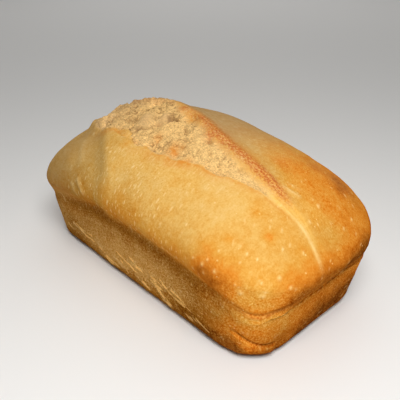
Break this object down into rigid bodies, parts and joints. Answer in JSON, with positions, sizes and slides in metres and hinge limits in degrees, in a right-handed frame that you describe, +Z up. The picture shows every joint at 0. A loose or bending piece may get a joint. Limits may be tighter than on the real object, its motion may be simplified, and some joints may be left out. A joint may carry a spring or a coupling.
{
  "type": "sourdough loaf",
  "caption": "Tin-baked sourdough loaf with straight lower walls, an overhanging golden crown and a lengthwise score torn open into a craggy band with a raised ear.",
  "frame": {"origin": "on the base, under the middle of the loaf's box", "axes": "+X along the loaf towards the end where the score runs out smooth, +Y across it towards the ear's back side, +Z up"},
  "size_m": [0.2581, 0.1413, 0.1167],
  "materials": {
    "crust": null
  },
  "bodies": {
    "root": {"loaf": "crust"}
  },
  "joints": []
}
